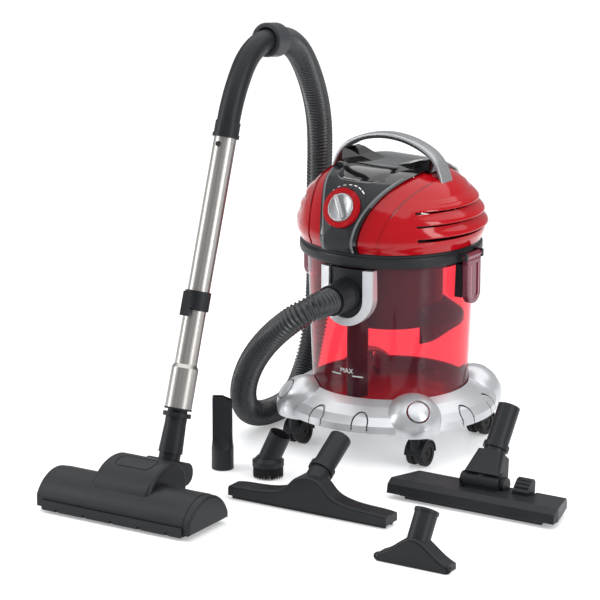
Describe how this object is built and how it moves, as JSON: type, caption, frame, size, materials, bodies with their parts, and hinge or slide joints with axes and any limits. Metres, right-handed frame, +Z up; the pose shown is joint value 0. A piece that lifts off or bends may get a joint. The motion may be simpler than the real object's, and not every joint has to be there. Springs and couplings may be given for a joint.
{
  "type": "shop vacuum",
  "caption": "Wet and dry canister vacuum on casters with a clear red tank, ribbed hose, steel wand with turbo head, and loose nozzles.",
  "frame": {"origin": "tank's axis on the floor", "axes": "+Z up; the dial and the hose inlet face -Y; +X is the right-hand caster side, and the head with its latches sits turned 4 degrees clockwise on the tank"},
  "size_m": [0.714, 0.778, 0.6967],
  "materials": {
    "silver_paint": "satin",
    "tank_red": "clear",
    "black_plastic": "matte",
    "gloss_black": "gloss",
    "red_shell": "gloss",
    "steel_tube": "brushed",
    "rubber": "matte",
    "soft_grey": "satin",
    "foam": "matte",
    "latch_red": "gloss",
    "motor_metal": "satin",
    "bristle": "matte"
  },
  "bodies": {
    "chassis": {"base_ring": "silver_paint", "base_caps": "silver_paint", "tank": "tank_red", "inlet_housing": "gloss_black", "inlet_trim": "silver_paint", "inlet_down_tube": "black_plastic", "tank_lugs": "black_plastic", "hose_cuff": "black_plastic", "suction_hose": "black_plastic"},
    "head": {"head_base": "black_plastic", "head_gasket": "rubber", "centre_cover": "gloss_black", "left_shell": "red_shell", "right_shell": "red_shell", "carry_handle": "silver_paint", "handle_grip": "black_plastic", "dial_bezel": "red_shell", "motor_unit": "motor_metal", "filter_drum": "soft_grey", "filter_element": "foam", "float_cage": "black_plastic", "power_gland": "rubber"},
    "dial": {"dial_knob": "silver_paint"},
    "fan": {"fan_impeller": "motor_metal"},
    "float": {"float_ball": "black_plastic"},
    "right_latch": {"latch_right": "latch_red"},
    "left_latch": {"latch_left": "latch_red"},
    "wand": {"turbo_neck": "black_plastic", "wand_tube": "steel_tube", "socket_ring": "black_plastic", "parking_clip": "black_plastic", "hand_grip": "black_plastic"},
    "button": {"lock_button": "black_plastic"},
    "collar": {"swivel_collar": "soft_grey"},
    "slider": {"bleed_slider": "soft_grey"},
    "turbo_head": {"turbo_shell": "black_plastic", "turbo_end_caps": "black_plastic", "turbo_sole": "black_plastic", "turbo_hood": "black_plastic", "drive_belt": "rubber"},
    "roll": {"brush_roll": "bristle"},
    "turbine": {"turbine_rotor": "soft_grey"},
    "turbo_rollers": {"turbo_wheels": "rubber"},
    "crevice": {"crevice_tool": "black_plastic"},
    "duster": {"dust_brush": "black_plastic", "brush_bristles": "bristle"},
    "hard_floor": {"hard_floor_nozzle": "black_plastic"},
    "upholstery": {"upholstery_nozzle": "black_plastic"},
    "combi": {"combi_body": "black_plastic", "combi_sole": "soft_grey"},
    "combi_knuckle": {"combi_neck": "black_plastic"},
    "pedal": {"combi_pedal": "black_plastic"},
    "caster_1": {"caster_fork_1": "black_plastic"},
    "wheels_1": {"caster_wheels_1": "rubber"},
    "caster_2": {"caster_fork_2": "black_plastic"},
    "wheels_2": {"caster_wheels_2": "rubber"},
    "caster_3": {"caster_fork_3": "black_plastic"},
    "wheels_3": {"caster_wheels_3": "rubber"},
    "caster_4": {"caster_fork_4": "black_plastic"},
    "wheels_4": {"caster_wheels_4": "rubber"}
  },
  "joints": [
    {"name": "caster_1_swivel", "type": "hinge", "parent": "chassis", "child": "caster_1", "pos_m": [-0.11314, -0.11314, 0.05], "axis": [0, 0, 1], "continuous": true},
    {"name": "caster_1_roll", "type": "hinge", "parent": "caster_1", "child": "wheels_1", "pos_m": [-0.11314, -0.09914, 0.02], "axis": [1, 0, 0], "continuous": true},
    {"name": "caster_2_swivel", "type": "hinge", "parent": "chassis", "child": "caster_2", "pos_m": [0.11314, -0.11314, 0.05], "axis": [0, 0, 1], "continuous": true},
    {"name": "caster_2_roll", "type": "hinge", "parent": "caster_2", "child": "wheels_2", "pos_m": [0.11314, -0.09914, 0.02], "axis": [1, 0, 0], "continuous": true},
    {"name": "caster_3_swivel", "type": "hinge", "parent": "chassis", "child": "caster_3", "pos_m": [0.11314, 0.11314, 0.05], "axis": [0, 0, 1], "continuous": true},
    {"name": "caster_3_roll", "type": "hinge", "parent": "caster_3", "child": "wheels_3", "pos_m": [0.11314, 0.09914, 0.02], "axis": [1, 0, 0], "continuous": true},
    {"name": "caster_4_swivel", "type": "hinge", "parent": "chassis", "child": "caster_4", "pos_m": [-0.11314, 0.11314, 0.05], "axis": [0, 0, 1], "continuous": true},
    {"name": "caster_4_roll", "type": "hinge", "parent": "caster_4", "child": "wheels_4", "pos_m": [-0.11314, 0.09914, 0.02], "axis": [1, 0, 0], "continuous": true},
    {"name": "head_lift", "type": "slide", "parent": "chassis", "child": "head", "axis": [0, 0, 1], "range_m": [0, 0.12]},
    {"name": "power_dial", "type": "hinge", "parent": "head", "child": "dial", "pos_m": [-0.00949, -0.13567, 0.411], "axis": [-0.0637, -0.9113, 0.4067], "range_deg": [0, 270]},
    {"name": "fan_spin", "type": "hinge", "parent": "head", "child": "fan", "pos_m": [0, 0, 0.35], "axis": [0, 0, 1], "continuous": true},
    {"name": "float_rise", "type": "slide", "parent": "head", "child": "float", "axis": [0, 0, 1], "range_m": [0, 0.045]},
    {"name": "right_latch_swing", "type": "hinge", "parent": "head", "child": "right_latch", "pos_m": [0.15462, -0.01081, 0.331], "axis": [-0.0698, -0.9976, 0], "range_deg": [0, 100]},
    {"name": "left_latch_swing", "type": "hinge", "parent": "head", "child": "left_latch", "pos_m": [-0.15462, 0.01081, 0.331], "axis": [0.0698, 0.9976, 0], "range_deg": [0, 100]},
    {"name": "wand_tilt", "type": "hinge", "parent": "chassis", "child": "wand", "pos_m": [-0.135, -0.449, 0.045], "axis": [1, 0, 0], "range_deg": [-20, 19], "deforming": ["suction_hose"]},
    {"name": "head_pitch", "type": "hinge", "parent": "wand", "child": "turbo_head", "pos_m": [-0.135, -0.449, 0.045], "axis": [1, 0, 0], "range_deg": [-20, 21]},
    {"name": "lock_button_press", "type": "slide", "parent": "wand", "child": "button", "axis": [0, 0.9447, -0.3279], "range_m": [0, 0.003], "stiffness_N_per_m": 300, "springref_m": -0.001},
    {"name": "hose_swivel", "type": "hinge", "parent": "wand", "child": "collar", "pos_m": [-0.135, -0.146, 0.668], "axis": [0, 0.9893, -0.1462], "continuous": true},
    {"name": "bleed_slide", "type": "slide", "parent": "wand", "child": "slider", "axis": [0, 0.3279, 0.9447], "range_m": [0, 0.01]},
    {"name": "brush_spin", "type": "hinge", "parent": "turbo_head", "child": "roll", "pos_m": [-0.135, -0.572, 0.025], "axis": [1, 0, 0], "continuous": true},
    {"name": "turbine_spin", "type": "hinge", "parent": "turbo_head", "child": "turbine", "pos_m": [-0.135, -0.528, 0.06], "axis": [1, 0, 0], "continuous": true},
    {"name": "turbo_wheel_roll", "type": "hinge", "parent": "turbo_head", "child": "turbo_rollers", "pos_m": [-0.135, -0.507, 0.0094], "axis": [1, 0, 0], "continuous": true},
    {"name": "crevice_lift", "type": "slide", "parent": "chassis", "child": "crevice", "axis": [0, 0, 1], "range_m": [0, 0.2]},
    {"name": "duster_lift", "type": "slide", "parent": "chassis", "child": "duster", "axis": [0, 0, 1], "range_m": [0, 0.2]},
    {"name": "hard_floor_lift", "type": "slide", "parent": "chassis", "child": "hard_floor", "axis": [0, 0, 1], "range_m": [0, 0.2]},
    {"name": "upholstery_lift", "type": "slide", "parent": "chassis", "child": "upholstery", "axis": [0, 0, 1], "range_m": [0, 0.2]},
    {"name": "combi_lift", "type": "slide", "parent": "chassis", "child": "combi", "axis": [0, 0, 1], "range_m": [0, 0.2]},
    {"name": "combi_neck_tilt", "type": "hinge", "parent": "combi", "child": "combi_knuckle", "pos_m": [0.29, -0.21, 0.034], "axis": [1, 0, 0], "range_deg": [-25, 37]},
    {"name": "pedal_rock", "type": "hinge", "parent": "combi", "child": "pedal", "pos_m": [0.357, -0.209, 0.027], "axis": [1, 0, 0], "range_deg": [-8, 8]}
  ],
  "couplings": [
    {"joint": "head_pitch", "follows": "wand_tilt", "ratio": -1},
    {"joint": "turbine_spin", "follows": "brush_spin", "ratio": 2}
  ]
}
